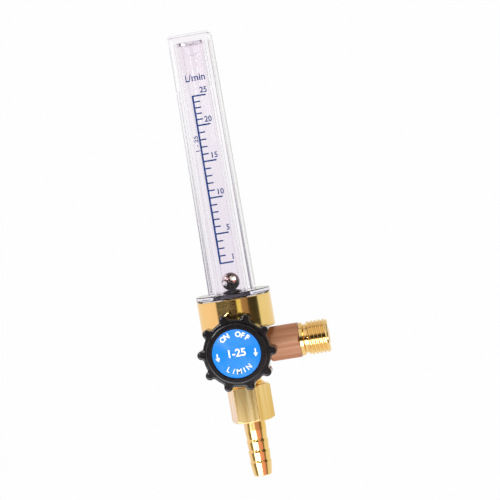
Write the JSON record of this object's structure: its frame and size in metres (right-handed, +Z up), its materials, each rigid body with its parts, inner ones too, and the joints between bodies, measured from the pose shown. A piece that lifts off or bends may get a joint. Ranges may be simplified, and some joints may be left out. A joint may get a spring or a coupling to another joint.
{
  "type": "rotameter",
  "caption": "Welding-gas rotameter: tapered metering tube and ball in a clear square hood, brass needle-valve body, lobed knob, threaded side inlet and barbed hose outlet.",
  "frame": {"origin": "middle of the end face of the threaded inlet, where it seats on the gas supply", "axes": "+X out of the inlet, towards the supply; +Z up the metering tube; the valve's knob faces -Y"},
  "size_m": [0.052, 0.0424, 0.183],
  "materials": {
    "body_brass": "turned and polished brass",
    "bright_brass": "bright brass",
    "nut_brass": "drawn hexagon brass, lightly brushed",
    "bronze_hex": "copper-toned hexagon, brushed along its length",
    "copper_washer": "annealed copper",
    "clear_cover": "clear moulded plastic",
    "clear_tube": "clear moulded plastic, blue print",
    "clear_stop": "clear moulded plastic",
    "black_seat": "black turned plastic",
    "black_rubber": "black rubber",
    "white_washer": "white sealing plastic",
    "polished_steel": "polished ball",
    "stainless": "turned stainless steel",
    "black_knob": "glossy black moulding",
    "blue_label": "blue printed aluminium"
  },
  "bodies": {
    "housing": {"valve_body": "body_brass", "flow_cover": "clear_cover", "cover_seal": "black_rubber", "metering_tube": "clear_tube", "tube_seal": "black_rubber", "float_seat": "black_seat", "float_stop": "clear_stop", "inlet_washer": "copper_washer", "inlet_hex": "bronze_hex", "inlet_nipple": "bright_brass", "bonnet": "body_brass", "bonnet_seal": "copper_washer", "union_nut": "nut_brass", "tail_washer": "white_washer", "hose_tail": "bright_brass"},
    "stem_ring": {"stem_o_ring": "black_rubber"},
    "knob_set": {"spindle": "stainless", "knob": "black_knob", "knob_disc": "blue_label", "knob_screw": "stainless", "knob_washer": "stainless"},
    "float": {"float_ball": "polished_steel"}
  },
  "joints": [
    {"name": "stem_travel", "type": "slide", "parent": "housing", "child": "stem_ring", "axis": [0, -1, 0], "range_m": [0, 0.002]},
    {"name": "knob_turn", "type": "hinge", "parent": "stem_ring", "child": "knob_set", "pos_m": [-0.0362, 0, 0.0006], "axis": [0, -1, 0], "range_deg": [0, 720]},
    {"name": "float_rise", "type": "slide", "parent": "housing", "child": "float", "axis": [0, 0, 1], "range_m": [0, 0.0895]}
  ],
  "couplings": [
    {"joint": "stem_travel", "follows": "knob_turn", "m_per_rad": 0.00015915}
  ]
}
